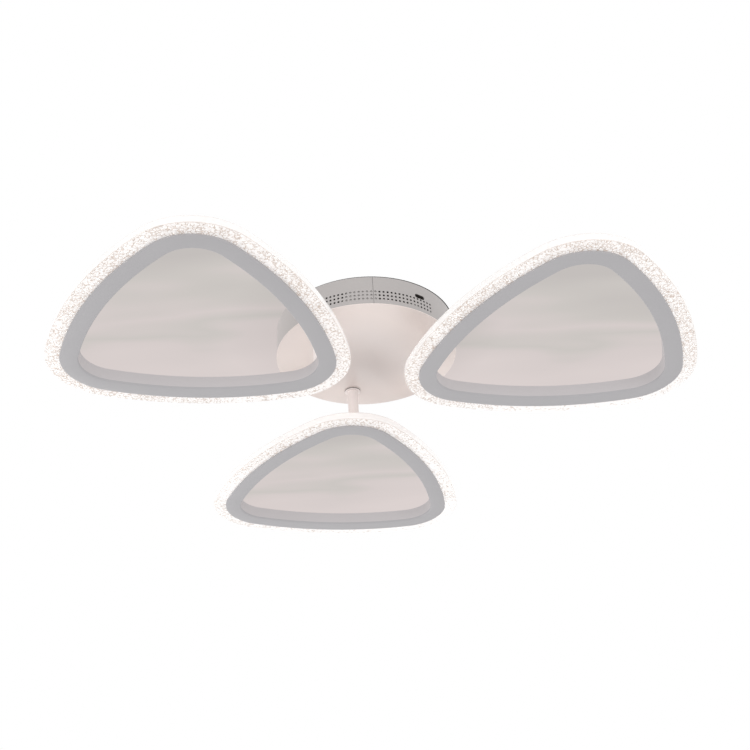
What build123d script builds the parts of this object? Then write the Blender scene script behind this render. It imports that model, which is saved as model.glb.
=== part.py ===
from build123d import *
import os
from math import atan2, cos, degrees, pi, radians, sin, sqrt

# Ceiling light. A round canopy with a perforated wall carries three ring lamps on short stems.
# Each lamp swings about its upright stem. All sizes are in millimetres and all angles in degrees.
# The origin is on the ceiling at the canopy's centre, +Z is up and the right lamp's stem is on +X.

os.makedirs("parts", exist_ok=True)

# Canopy
canopy_radius = 100.0
canopy_height = 36.0
face_sheet = 1.0
wall_sheet = 0.8
wall_set_back = 0.4
seam_angle = -68.5
seam_gap = 0.4
lap_hidden_length = 29.0
lap_joint_length = 3.0
lug_width = 14.0
lug_height = 7.0
lug_angles = (60.0, 150.0, 210.0, 300.0)

# Perforation of the canopy wall; the vents are cut square here, which keeps the facets few
vent_size = 1.8
vent_pitch = 4.4
vent_row_pitch = 4.6
vent_rows = 3
vent_columns = 32
vent_top_drop = 19.3

# Side slot of the canopy wall
side_slot_length = 12.5
side_slot_height = 4.5
side_slot_angle = -37.5
side_slot_drop = 15.8

# Ceiling bracket
bracket_width = 25.0
bracket_sheet = 1.5
ear_height = 20.0
ear_clearance = 0.4
ceiling_slot_spacing = 104.0
ceiling_slot_length = 24.0
ceiling_slot_width = 5.2
supply_hole_radius = 7.0

# Screws that hold the canopy to the bracket, and the earth screw
side_screw_radius = 1.95
side_screw_head_radius = 3.6
side_screw_head_height = 2.2
side_screw_length = 5.0
side_screw_drop = 12.0
earth_screw_x = 24.0

# Stems
stem_ring_radius = 71.0
stem_radius = 6.0
stem_bore_radius = 4.0
stem_thread_radius = 4.95
collar_radius = 9.0
collar_height = 1.5
fibre_washer_radius = 9.5
fibre_washer_height = 1.0
lock_nut_flats = 14.0
lock_nut_height = 4.0
stem_nut_height = 3.0
thread_beyond_nut = 2.0

# Ring lamps: a triangle with bowed sides and round corners, one corner at the stem
frame_drop = 90.0
frame_height = 15.0
frame_width = 18.5
frame_sheet = 1.0
corner_radius = 55.0
side_radius = 367.0
side_reach = 116.0
stem_inset = 10.0
face_plate_thickness = 2.0
acrylic_reach = 15.0
acrylic_grip = 5.0
acrylic_thickness = 8.5

# Light strip in each lamp
strip_height = 7.0
strip_thickness = 1.0
led_count = 24
led_length = 3.5
led_height = 2.8
led_depth = 1.0

# Hexagon studs and screws that hold each lamp's channel to its face plate
stud_flats = 5.0
frame_screw_radius = 1.25
frame_screw_head_flats = 5.5
frame_screw_head_height = 1.8
frame_screw_length = 8.0

# Driver and terminal block
driver_length = 84.0
driver_width = 36.0
driver_height = 21.0
driver_shell = 1.5
driver_lid_height = 4.0
driver_distance = 62.0
driver_angle = -60.0
board_thickness = 1.6
board_margin = 1.0
board_stand = 3.0
board_foot_length = 4.0
transformer_size = (20.0, 17.0, 6.5)
transformer_x = -6.0
coil_size = (12.0, 16.0, 6.0)
coil_x = 24.0
capacitor_size = (8.0, 11.0, 5.0)
capacitor_x = -27.0
terminal_length = 30.0
terminal_width = 17.0
terminal_height = 13.0
terminal_distance = 60.0
terminal_angle = 60.0
terminal_poles = 3
pole_length = 7.5
pole_width = 12.0
pole_height = 6.5
pole_well = 4.0
wire_way_width = 4.2
wire_way_height = 3.2
wire_way_drop = 3.0

# Leads
lead_width = 2.6
lead_thickness = 1.6
lead_level = 12.0
lead_notch_length = 68.0
lead_side_place = 26.0
lead_out_reach = 6.0
lead_peak_drop = 13.0
lead_dip = 3.0

# The far lamp's lead on its way past the canopy's centre: how far beyond the centre, and the level
far_lead_points = ((-7.0, -20.5), (34.0, -14.5))

# The mains lead's run out from the terminals and the driver, its ends and their rise
mains_out_reach = 14.0
mains_end_place = 15.0
mains_lean = 2.0
mains_rise = 2.0

# Clearances
running_gap = 0.05
seat_gap = 0.05

# Lamps: the angle of each stem round the canopy, and the lamp's turn from straight out as pictured
lamp_places = {
    "right": (0.0, -10.1),
    "far": (120.0, -5.7),
    "left": (240.0, -7.8),
}

# Levels worked out from the sizes above
face_under = -canopy_height
face_top = face_under + face_sheet
frame_under = -frame_drop
frame_top = frame_under + frame_height
plate_top = frame_under + face_plate_thickness
acrylic_top = plate_top + acrylic_thickness
channel_ceiling = frame_top - frame_sheet
collar_under = face_under - running_gap - collar_height
fibre_under = face_top + running_gap
lock_nut_under = fibre_under + fibre_washer_height + seat_gap
stem_top = lock_nut_under + lock_nut_height + thread_beyond_nut
stem_nut_top = channel_ceiling - seat_gap
stem_end = stem_nut_top - stem_nut_height
strip_middle = plate_top + acrylic_thickness / 2
lead_meeting = stem_top - lead_dip

# The canopy wall's two faces
wall_outer = canopy_radius - wall_set_back
wall_inner = wall_outer - wall_sheet

# Lamp outline: arcs of corner_radius and side_radius meet in line with each other
side_centre = side_radius - side_reach
corner_centre = (sqrt(4 * (side_radius - corner_radius) ** 2 - 3 * side_centre**2) - side_centre) / 2
side_half_angle = degrees(atan2(corner_centre * sin(pi / 3), corner_centre * cos(pi / 3) + side_centre))
lamp_centre = corner_centre + corner_radius - stem_inset
corner_angles = (180.0, 300.0, 60.0)


def polar(radius, angle, z=0.0):
    """A point at a radius and an angle round the Z axis."""
    return Vector(radius * cos(radians(angle)), radius * sin(radians(angle)), z)


def tube(radius, bore, z, height):
    """An upright tube, or a rod where the bore is nothing."""
    body = Solid.make_cylinder(radius, height, Plane((0, 0, z)))
    if bore:
        body = body - Solid.make_cylinder(bore, height + 2, Plane((0, 0, z - 1)))
    return body


def block(length, width, height, x=0.0, y=0.0, z=0.0):
    """A box centred on x and y that stands on z."""
    return Pos(x, y, z) * Box(length, width, height, align=(Align.CENTER, Align.CENTER, Align.MIN))


def hex_nut(flats, bore, z, height):
    """A hexagon nut with two flats square to X."""
    outline = RegularPolygon(flats / 2, 6, major_radius=False, rotation=30)
    body = Pos(0, 0, z) * extrude(outline, height)
    return body - Solid.make_cylinder(bore, height + 2, Plane((0, 0, z - 1)))


def lamp_outline(inset):
    """The lamp's outline moved inwards, as a wire of six arcs round the lamp's centre."""
    arcs = []
    centre = Vector(lamp_centre, 0, 0)
    turn = 60.0 - side_half_angle
    for angle in corner_angles:
        corner = centre + polar(corner_centre, angle)
        arcs.append(Edge.make_circle(corner_radius - inset, Plane(corner), angle - turn, angle + turn))
        middle = angle + 60.0
        far_side = centre - polar(side_centre, middle)
        start = middle - side_half_angle
        end = middle + side_half_angle
        arcs.append(Edge.make_circle(side_radius - inset, Plane(far_side), start, end))
    return Wire(arcs)


def lamp_ring(outer_inset, inner_inset, z, height):
    """A flat ring that follows the lamp's outline between two insets."""
    flat = Face(lamp_outline(outer_inset), [lamp_outline(inner_inset)])
    return Pos(0, 0, z) * Solid.extrude(flat, Vector(0, 0, height))


def frame_screw_points():
    """The places of the frame's studs: one at the middle of each side, on the frame's centre line."""
    centre = Vector(lamp_centre, 0, 0)
    return [centre + polar(side_reach - stem_inset, angle + 60.0) for angle in corner_angles]


def lead_between(path_points):
    """A flat two-core lead along straight runs and arcs that are as large as the runs allow."""
    radii = []
    for before, here, after in zip(path_points, path_points[1:], path_points[2:]):
        turn = radians((here - before).get_angle(after - here))
        run = min((here - before).length, (after - here).length)
        radii.append(0.45 * run / (sin(turn / 2) / cos(turn / 2)))
    print("lead radii", [round(radius, 1) for radius in radii])
    route = FilletPolyline(*path_points, radius=radii)
    start = route % 0
    across = Vector(1, 0, 0) if abs(start.Z) > 0.9 else start.cross(Vector(0, 0, 1))
    section = Plane(origin=route @ 0, x_dir=across, z_dir=start) * Rectangle(lead_width, lead_thickness)
    return sweep(section, path=route)


def on_wall(angle, drop):
    """A plane square to the canopy's wall, just inside it, with X along the wall."""
    start = polar(wall_inner - wall_sheet, angle, -drop)
    return Plane(start, x_dir=polar(1, angle + 90), z_dir=polar(1, angle))


def canopy_wall():
    """The rolled strip: vents, side slot, screw holes, and a seam closed by the strip's inner end."""
    height = -face_top
    strip = tube(wall_outer, wall_inner, face_top, height)
    slit = block(4 * wall_sheet, seam_gap, height + 2, wall_outer - wall_sheet, 0, face_top - 1)
    cutters = [Rot(0, 0, seam_angle) * slit]
    step = degrees(vent_pitch / wall_outer)
    for column in range(vent_columns):
        angle = seam_angle + step * (column - (vent_columns - 1) / 2)
        for row in range(vent_rows):
            plane = on_wall(angle, vent_top_drop + vent_row_pitch * row)
            cutters.append(extrude(plane * Rectangle(vent_size, vent_size), 3 * wall_sheet))
    slot_outline = on_wall(side_slot_angle, side_slot_drop) * SlotOverall(side_slot_length, side_slot_height)
    cutters.append(extrude(slot_outline, 3 * wall_sheet))
    for angle in (0.0, 180.0):
        hole = on_wall(angle, side_screw_drop) * Circle(side_screw_radius + 4 * running_gap)
        cutters.append(extrude(hole, 3 * wall_sheet))
    strip = strip - cutters
    lap = tube(wall_inner + wall_sheet / 4, wall_inner - wall_sheet, face_top, height)
    lap_length = lap_hidden_length + lap_joint_length
    keep = block(4 * wall_sheet, lap_length, height, wall_inner, (lap_joint_length - lap_hidden_length) / 2, face_top)
    return strip + (lap & (Rot(0, 0, seam_angle) * keep))


def canopy_face():
    """The round face plate with a hole for each stem and turned-up lugs that carry the wall."""
    plate = Solid.make_cylinder(canopy_radius, face_sheet, Plane((0, 0, face_under)))
    reach = wall_inner - seat_gap
    for angle in lug_angles:
        lug = tube(reach, reach - face_sheet, face_top - face_sheet / 2, lug_height - seat_gap)
        lug = lug & (Rot(0, 0, angle) * block(canopy_radius, lug_width, canopy_height, canopy_radius, 0, face_under))
        plate = plate + lug
    for angle, _ in lamp_places.values():
        hole = Plane(polar(stem_ring_radius, angle, face_under - 1))
        plate = plate - Solid.make_cylinder(stem_thread_radius + running_gap, face_sheet + 2, hole)
    return plate


def ear_face():
    """How far out the bracket's flat ears can stand inside the round wall."""
    return sqrt(wall_inner**2 - (bracket_width / 2) ** 2) - ear_clearance


def mounting_bracket():
    """The crossbar on the ceiling, with slots, a supply hole and two tapped ears."""
    reach = ear_face()
    bar = block(2 * reach, bracket_width, bracket_sheet, z=-bracket_sheet)
    for side in (-1, 1):
        ear_x = side * (reach - bracket_sheet / 2)
        bar = bar + block(bracket_sheet, bracket_width, ear_height, ear_x, 0, -ear_height)
        slot = Pos(side * ceiling_slot_spacing / 2, 0, -bracket_sheet - 1)
        slot_outline = slot * SlotOverall(ceiling_slot_length, ceiling_slot_width)
        bar = bar - extrude(slot_outline, bracket_sheet + 2)
    across = Plane((-reach - 1, 0, -side_screw_drop), z_dir=(1, 0, 0))
    bar = bar - Solid.make_cylinder(side_screw_radius + running_gap, 2 * reach + 2, across)
    bar = bar - Solid.make_cylinder(supply_hole_radius, bracket_sheet + 2, Plane((0, 0, -bracket_sheet - 1)))
    earth = Plane((earth_screw_x, 0, -bracket_sheet - 1))
    return bar - Solid.make_cylinder(side_screw_radius + running_gap, bracket_sheet + 2, earth)


def pan_screw(shank, head, head_height, length):
    """A screw along Z: the head stands up from z = 0 and the shank goes down."""
    top = Solid.make_cylinder(head, head_height, Plane((0, 0, 0)))
    return top + Solid.make_cylinder(shank, length, Plane((0, 0, -length)))


def canopy_side_screws():
    """The two screws through the canopy's wall into the bracket's ears."""
    screws = []
    screw = pan_screw(side_screw_radius, side_screw_head_radius, side_screw_head_height, side_screw_length)
    for angle in (0.0, 180.0):
        seat = polar(wall_outer + seat_gap, angle, -side_screw_drop)
        screws.append(Plane(seat, z_dir=polar(1, angle)).location * screw)
    return Compound(screws)


def earth_screw():
    """The earth screw up into the bracket's underside."""
    length = bracket_sheet - seat_gap
    screw = pan_screw(side_screw_radius, side_screw_head_radius, side_screw_head_height, length)
    return Pos(earth_screw_x, 0, -bracket_sheet - seat_gap) * Rot(180, 0, 0) * screw


driver_place = Pos(*polar(driver_distance, driver_angle)) * Rot(0, 0, driver_angle + 90)
terminal_place = Pos(*polar(terminal_distance, terminal_angle)) * Rot(0, 0, terminal_angle + 90)
driver_body_height = driver_height - driver_lid_height


def driver_case():
    """The driver's open case, stuck to the face plate, with a notch where the leads leave."""
    body = block(driver_length, driver_width, driver_body_height, z=face_top)
    inside_length = driver_length - 2 * driver_shell
    inside_width = driver_width - 2 * driver_shell
    inside = block(inside_length, inside_width, driver_body_height, z=face_top + driver_shell)
    notch_under = face_top + lead_level - lead_width
    notch = block(lead_notch_length, 3 * driver_shell, driver_body_height, 0, driver_width / 2, notch_under)
    return driver_place * (body - inside - notch)


def driver_lid():
    """The driver's lid, with a rim that drops into the case."""
    under = face_top + driver_body_height + seat_gap
    top = block(driver_length, driver_width, driver_shell, z=under)
    rim_length = driver_length - 2 * driver_shell - 2 * seat_gap
    rim_width = driver_width - 2 * driver_shell - 2 * seat_gap
    drop = driver_lid_height - driver_shell
    rim = block(rim_length, rim_width, drop, z=under - drop)
    hollow = block(rim_length - 2 * driver_shell, rim_width - 2 * driver_shell, drop, z=under - drop)
    return driver_place * (top + (rim - hollow))


def driver_board():
    """The driver's board with its transformer, coils and capacitors."""
    board_length = driver_length - 2 * driver_shell - 2 * board_margin
    board_width = driver_width - 2 * driver_shell - 2 * board_margin
    level = face_top + driver_shell + board_stand
    board = block(board_length, board_width, board_thickness, z=level)
    parts_on_board = ((transformer_size, transformer_x), (coil_size, coil_x), (capacitor_size, capacitor_x))
    for size, x in parts_on_board:
        board = board + block(*size, x, 0, level + board_thickness)
    for side in (-1, 1):
        foot_x = side * (board_length / 2 - board_foot_length)
        board = board + block(board_foot_length, board_width, board_stand, foot_x, 0, level - board_stand)
    return driver_place * board


def terminal_block():
    """The supply terminal block: raised poles with screw wells, and wire ways from end to end."""
    base_height = terminal_height - pole_height
    base = block(terminal_length, terminal_width, base_height, z=face_top)
    pitch = terminal_length / terminal_poles
    for pole in range(terminal_poles):
        x = pitch * (pole - (terminal_poles - 1) / 2)
        raised = block(pole_length, pole_width, pole_height, x, 0, face_top + base_height)
        well = block(pole_well, pole_well, terminal_height, x, 0, face_top + base_height)
        way = block(wire_way_width, terminal_width + 2, wire_way_height, x, 0, face_top + wire_way_drop)
        base = base + raised - well - way
    return terminal_place * base


def by_driver(x, out, rise=0.0):
    """A point along the driver's inner side, out from it, and above the level where the leads leave it."""
    return (driver_place * Pos(x, driver_width / 2 + out, face_top + lead_level + rise)).position


def stem_lead(angle, start_x, passing):
    """A lead from the driver's inner side, past some points, to a stem's mouth and down its bore."""
    start = by_driver(start_x, -driver_shell)
    over_stem = polar(stem_ring_radius, angle, -lead_peak_drop)
    down = polar(stem_ring_radius, angle, lead_meeting)
    return lead_between([start, *passing, over_stem, down])


def mains_lead():
    """The lead from the terminal block to the driver."""
    way_middle = face_top + wire_way_drop + wire_way_height / 2
    start = terminal_place * Pos(0, terminal_width / 2 + seat_gap, way_middle)
    first = terminal_place * Pos(0, terminal_width / 2 + mains_out_reach, way_middle + mains_rise)
    last = by_driver(mains_end_place + mains_lean, mains_out_reach, mains_rise)
    return lead_between([start.position, first.position, last, by_driver(mains_end_place, -driver_shell)])


def stem():
    """The hollow stem, with a thinner threaded length at each end."""
    body = tube(stem_radius, 0, frame_top, collar_under - frame_top)
    body = body + tube(stem_thread_radius, 0, collar_under, stem_top - collar_under)
    body = body + tube(stem_thread_radius, 0, stem_end, frame_top - stem_end)
    return body - Solid.make_cylinder(stem_bore_radius, 4 * frame_drop, Plane((0, 0, -2 * frame_drop)))


def lamp_channel():
    """The lamp's pressed channel, open downwards, with a short outer lip over the acrylic."""
    body = lamp_ring(0, frame_width, plate_top, frame_top - plate_top)
    hollow_top = channel_ceiling - plate_top
    body = body - lamp_ring(frame_sheet, frame_width - frame_sheet, plate_top - 1, hollow_top + 1)
    lip_under = acrylic_top + seat_gap
    body = body - lamp_ring(-1, 2 * frame_sheet, plate_top - 1, lip_under - plate_top + 1)
    body = body - tube(stem_thread_radius + running_gap, 0, channel_ceiling - 1, frame_sheet + 2)
    for point in frame_screw_points():
        hole = Plane((point.X, point.Y, channel_ceiling - 1))
        body = body - Solid.make_cylinder(frame_screw_radius + 4 * running_gap, frame_sheet + 2, hole)
    return body


def face_plate():
    """The lamp's flat face plate, with a tapped hexagon stud at the middle of each side."""
    body = lamp_ring(0, frame_width, frame_under, face_plate_thickness)
    root = plate_top - face_plate_thickness / 4
    stud = hex_nut(stud_flats, frame_screw_radius + running_gap, root, channel_ceiling - seat_gap - root)
    for point in frame_screw_points():
        body = body + Pos(point.X, point.Y, 0) * stud
    return body


def frame_screws():
    """The hexagon-headed screws down through the channel into the face plate's studs."""
    head = extrude(RegularPolygon(frame_screw_head_flats / 2, 6, major_radius=False), frame_screw_head_height)
    screw = head + Solid.make_cylinder(frame_screw_radius, frame_screw_length, Plane((0, 0, -frame_screw_length)))
    level = frame_top + seat_gap
    return Compound([Pos(point.X, point.Y, level) * screw for point in frame_screw_points()])


def acrylic_ring():
    """The clear ring, gripped by its inner edge between the face plate and the channel's lip."""
    return lamp_ring(-acrylic_reach, acrylic_grip, plate_top, acrylic_thickness)


def led_strip():
    """The light strip on the channel's inner wall, with its light packages facing the acrylic."""
    back = frame_width - frame_sheet - seat_gap
    front = back - strip_thickness
    low = strip_middle - strip_height / 2
    pieces = [lamp_ring(front, back, low, strip_height)]
    line = lamp_outline(front - seat_gap - led_depth / 2)
    for number in range(led_count):
        share = (number + 0.5) / led_count
        place = Plane(line @ share, x_dir=line % share, z_dir=(0, 0, 1))
        package = place.location * Box(led_length, led_depth, led_height)
        pieces.append(Pos(0, 0, strip_middle) * package)
    return Compound([solid for piece in pieces for solid in piece.solids()])


def lamp_lead():
    """The lamp's own lead: down the stem's bore, then across to the light strip."""
    strip_front = frame_width - frame_sheet - strip_thickness - stem_inset - 2 * seat_gap
    top = lead_meeting - seat_gap
    turn = Vector(0, 0, strip_middle)
    return lead_between([Vector(0, 0, top), turn, turn + Vector(strip_front, 0, 0)])


root_pieces = {
    "canopy_wall": canopy_wall(),
    "canopy_face": canopy_face(),
    "mounting_bracket": mounting_bracket(),
    "canopy_side_screws": canopy_side_screws(),
    "earth_screw": earth_screw(),
    "driver_case": driver_case(),
    "driver_lid": driver_lid(),
    "driver_board": driver_board(),
    "terminal_block": terminal_block(),
    "mains_lead": mains_lead(),
    "right_driver_lead": stem_lead(0.0, lead_side_place, [by_driver(lead_side_place, lead_out_reach)]),
    "left_driver_lead": stem_lead(240.0, -lead_side_place, [by_driver(-lead_side_place, lead_out_reach)]),
    "far_driver_lead": stem_lead(120.0, 0.0, [polar(reach, 120.0, level) for reach, level in far_lead_points]),
}

lamp_pieces = {
    "stem": stem(),
    "stem_collar": tube(collar_radius, stem_thread_radius + running_gap, collar_under, collar_height),
    "fibre_washer": tube(
        fibre_washer_radius, stem_thread_radius + running_gap, fibre_under, fibre_washer_height
    ),
    "lock_nut": hex_nut(lock_nut_flats, stem_thread_radius + running_gap, lock_nut_under, lock_nut_height),
    "stem_nut": hex_nut(lock_nut_flats, stem_thread_radius + running_gap, stem_end, stem_nut_height),
    "lamp_channel": lamp_channel(),
    "lamp_face_plate": face_plate(),
    "frame_screws": frame_screws(),
    "acrylic_ring": acrylic_ring(),
    "led_strip": led_strip(),
    "lamp_lead": lamp_lead(),
}

for name, piece in root_pieces.items():
    export_step(piece, f"parts/{name}.step")

for side, (angle, turn) in lamp_places.items():
    place = Pos(*polar(stem_ring_radius, angle)) * Rot(0, 0, angle + turn)
    for name, piece in lamp_pieces.items():
        export_step(place * piece, f"parts/{side}_{name}.step")
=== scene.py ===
import math

import bmesh
import bpy
from bpy.props import FloatProperty, FloatVectorProperty, IntProperty, PointerProperty
from mathutils import Matrix, Vector


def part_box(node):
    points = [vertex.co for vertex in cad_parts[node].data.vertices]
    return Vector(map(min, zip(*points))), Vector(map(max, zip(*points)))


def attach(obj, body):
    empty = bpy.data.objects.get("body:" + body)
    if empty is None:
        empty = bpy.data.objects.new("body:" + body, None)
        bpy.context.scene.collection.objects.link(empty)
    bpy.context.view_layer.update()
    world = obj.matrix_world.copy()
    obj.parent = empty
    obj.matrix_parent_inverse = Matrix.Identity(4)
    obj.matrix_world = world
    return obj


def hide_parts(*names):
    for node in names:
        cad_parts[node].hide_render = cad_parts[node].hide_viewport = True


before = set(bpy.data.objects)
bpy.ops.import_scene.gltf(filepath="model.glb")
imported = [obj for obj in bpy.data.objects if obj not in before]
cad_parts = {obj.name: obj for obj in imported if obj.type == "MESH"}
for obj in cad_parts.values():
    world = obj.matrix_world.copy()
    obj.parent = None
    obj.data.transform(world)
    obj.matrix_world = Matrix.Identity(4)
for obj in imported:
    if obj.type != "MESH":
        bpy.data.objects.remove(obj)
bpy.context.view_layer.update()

bl_info = {
    "name": "LED ceiling chandelier",
    "version": (1, 0, 0),
    "blender": (4, 5, 0),
    "location": "3D View > Sidebar > Chandelier",
    "description": "Finishes and finer pieces of a ceiling light with three ring lamps",
    "category": "Add Mesh",
}

# Each lamp: the angle of its stem round the canopy, and the lamp's turn from straight out, in degrees
LAMPS = {"right": (0.0, -10.1), "far": (120.0, -5.7), "left": (240.0, -7.8)}
# The directions of a lamp's corners from its centre, the stem's corner first, in degrees
CORNER_ANGLES = (180.0, 300.0, 60.0)
# Points nearer than this are one point, in metres
MERGE = 0.000001


def polar(radius, angle, z=0.0):
    """A point at a radius and an angle in degrees round the Z axis."""
    return Vector((radius * math.cos(math.radians(angle)), radius * math.sin(math.radians(angle)), z))


def picture_colour(red, green, blue):
    """A colour read as 0 to 255 screen values, as Blender's linear colour."""
    channels = []
    for value in (red, green, blue):
        share = value / 255
        channels.append(share / 12.92 if share <= 0.04045 else ((share + 0.055) / 1.055) ** 2.4)
    return tuple(channels)


def length(name, words, size):
    """A size in metres."""
    return FloatProperty(name=name, description=words, default=size, min=0.0, unit="LENGTH", precision=5)


def direction(name, words, degrees):
    """An angle round the canopy, kept in radians."""
    return FloatProperty(name=name, description=words, default=math.radians(degrees), unit="ROTATION")


def tint(name, words, *screen_values):
    """A colour property with its default in screen values."""
    tone = picture_colour(*screen_values)
    return FloatVectorProperty(name=name, description=words, default=tone, subtype="COLOR", min=0.0, max=1.0)


class ChandelierLampSizes(bpy.types.PropertyGroup):
    corner_radius: length("Corner radius", "Radius of the outline's corners", 0.055)
    side_radius: length("Side radius", "Radius of the outline's bowed sides", 0.367)
    side_reach: length("Side reach", "From the centre to the middle of a side", 0.116)
    stem_inset: length("Stem inset", "From the corner to the stem's axis", 0.010)
    frame_width: length("Frame width", "Width of the flat frame", 0.0185)
    frame_sheet: length("Frame sheet", "Thickness of the pressed channel", 0.001)
    plate_thickness: length("Face plate", "Thickness of the face plate", 0.002)
    acrylic_reach: length("Acrylic reach", "How far it stands out past the frame", 0.015)
    acrylic_grip: length("Acrylic grip", "How deep the frame holds it", 0.005)
    acrylic_thickness: length("Acrylic thickness", "Thickness of the acrylic ring", 0.0085)
    edge_round: length("Edge rounding", "Rounding of the painted edges", 0.0004)
    plate_round: length("Plate rounding", "Rounding of the face plate's inner edge", 0.0016)
    acrylic_round: length("Acrylic rounding", "Rounding of the polished edges", 0.0007)
    stud_flats: length("Stud flats", "Width across a hexagon stud", 0.005)
    led_count: IntProperty(name="Light packages", description="Packages on a light strip", default=24, min=3)
    led_length: length("Package length", "Length of a light package", 0.0035)
    led_height: length("Package height", "Height of a light package", 0.0028)
    led_depth: length("Package depth", "Depth of a light package", 0.001)
    strip_thickness: length("Strip thickness", "Thickness of the light strip", 0.001)
    seat_gap: length("Seat gap", "Clearance between seated pieces", 0.00005)


class ChandelierCanopySizes(bpy.types.PropertyGroup):
    stem_ring_radius: length("Stem ring", "From the canopy's centre to a stem", 0.071)
    wall_outer: length("Wall radius", "Outer radius of the canopy's wall", 0.0996)
    wall_sheet: length("Wall sheet", "Thickness of the wall strip", 0.0008)
    wall_height: length("Wall height", "Height of the wall strip", 0.035)
    seam_gap: length("Seam gap", "Width of the seam's slit", 0.0004)
    lap_hidden: length("Lap", "How far the strip runs on behind the seam", 0.029)
    lap_joint: length("Lap joint", "How far the lap starts before the seam", 0.003)
    vent_radius: length("Vent radius", "Radius of a round vent", 0.0012)
    vent_pitch: length("Vent pitch", "Spacing of the vents along the wall", 0.0044)
    vent_row_pitch: length("Vent row pitch", "Spacing of the rows of vents", 0.0046)
    vent_top_drop: length("Vent drop", "From the ceiling to the top row of vents", 0.0193)
    slot_length: length("Slot length", "Length of the side slot", 0.0125)
    slot_height: length("Slot height", "Height of the side slot", 0.005)
    slot_drop: length("Slot drop", "From the ceiling to the slot's middle", 0.0152)
    screw_hole: length("Screw hole", "Radius of a side screw's hole", 0.00215)
    screw_drop: length("Screw drop", "From the ceiling to the side screws", 0.012)
    stem_radius: length("Stem radius", "Outer radius of a stem", 0.006)
    stem_bore: length("Stem bore", "Radius of a stem's bore", 0.004)
    thread_radius: length("Thread radius", "Outer radius of a thread", 0.00495)
    thread_pitch: length("Thread pitch", "Pitch of a thread", 0.001)
    vent_rows: IntProperty(name="Vent rows", description="Rows of vents in the wall", default=3, min=1)
    vent_columns: IntProperty(name="Vent columns", description="Vents in each row", default=32, min=2)
    seam_angle: direction("Seam angle", "Where the seam is", -68.5)
    slot_angle: direction("Slot angle", "Where the side slot is", -37.5)


class ChandelierColours(bpy.types.PropertyGroup):
    # The face plates and channels are one paint: the plates' darker tone is painted shade on their
    # undersides, the channels' lighter tone painted light on their inner walls
    plate_white_painted_shade: tint("Face plate paint", "Powder coat of the face plates", 174, 172, 174)
    channel_white_painted_light: tint("Channel paint", "Powder coat of the channels", 196, 191, 192)
    canopy_face: tint("Canopy face paint", "Gloss paint of the canopy's face", 219, 209, 205)
    canopy_wall: tint("Canopy wall paint", "Powder coat of the canopy's wall", 185, 180, 178)
    stem_white: tint("Stem paint", "Satin paint of the stems and collars", 249, 240, 237)
    acrylic_clear: tint("Acrylic", "Clear lit acrylic", 251, 249, 248)
    acrylic_speck: tint("Acrylic specks", "Shade between the bubbles", 192, 173, 159)
    # The ceiling's tones are painted shade, greyer near the viewer and paler away from it
    ceiling_near: tint("Ceiling, near side", "Tone nearest to the viewer", 196, 191, 188)
    ceiling_cool: tint("Ceiling, cool bands", "Greyer bands of the tone", 204, 199, 195)
    ceiling_warm: tint("Ceiling, warm bands", "Pinker bands of the tone", 214, 205, 203)
    ceiling_far: tint("Ceiling, far side", "Tone farthest from the viewer", 220, 210, 208)
    canopy_shade: tint("Shade on the ceiling", "The ceiling in and close round the canopy", 34, 31, 30)


# Materials


class Nodes:
    """The nodes of a material or of the world."""

    def __init__(self, tree):
        self.tree = tree

    def feed(self, socket, value):
        """Links another socket to a socket, or sets it to a value."""
        if isinstance(value, bpy.types.NodeSocket):
            self.tree.links.new(value, socket)
        else:
            socket.default_value = value

    def node(self, kind, inputs=None, **settings):
        made = self.tree.nodes.new(kind)
        for name, value in settings.items():
            setattr(made, name, value)
        for name, value in (inputs or {}).items():
            self.feed(made.inputs[name], value)
        return made

    def maths(self, operation, first, second=0.0):
        return self.node("ShaderNodeMath", {0: first, 1: second}, operation=operation).outputs["Value"]


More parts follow.
